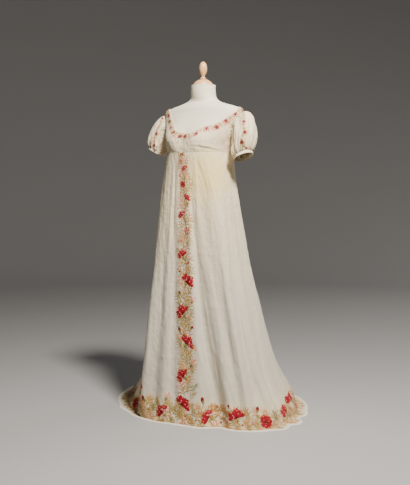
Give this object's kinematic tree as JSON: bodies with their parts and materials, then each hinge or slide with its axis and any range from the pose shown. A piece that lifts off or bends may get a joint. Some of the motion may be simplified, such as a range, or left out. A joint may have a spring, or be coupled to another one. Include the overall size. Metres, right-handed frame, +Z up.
{
  "type": "regency gown on dress form",
  "caption": "High-waisted muslin gown with puffed short sleeves, embroidered bands and a short train, standing on a limbless dress form with a turned cap and finial.",
  "frame": {"origin": "on the floor, at the centre of the underside of the form's base, on the pole's axis", "axes": "+Z up along the pole, +X to the wearer's left, -Y to the wearer's front; the train runs towards +Y and -X"},
  "size_m": [1.0314, 0.8542, 1.5201],
  "materials": {
    "muslin": "ivory embroidered muslin",
    "edging": "turned cotton edge",
    "form_cover": "stretched cream jersey",
    "turned_wood": "waxed",
    "pole_steel": "satin"
  },
  "bodies": {
    "root": {"bodice_back_left": "muslin", "bodice_back_right": "muslin", "bodice_front_left": "muslin", "bodice_front_right": "muslin", "cuff_left": "muslin", "cuff_right": "muslin", "form_base": "turned_wood", "form_finial": "turned_wood", "form_neck_cap": "turned_wood", "form_pole": "pole_steel", "form_torso": "form_cover", "hem_binding_back": "edging", "hem_binding_front": "edging", "hem_binding_side_left": "edging", "hem_binding_side_right": "edging", "neckline_band_back": "muslin", "neckline_band_front": "muslin", "skirt_back": "muslin", "skirt_front": "muslin", "skirt_side_left": "muslin", "skirt_side_right": "muslin", "sleeve_left": "muslin", "sleeve_right": "muslin"}
  },
  "joints": []
}
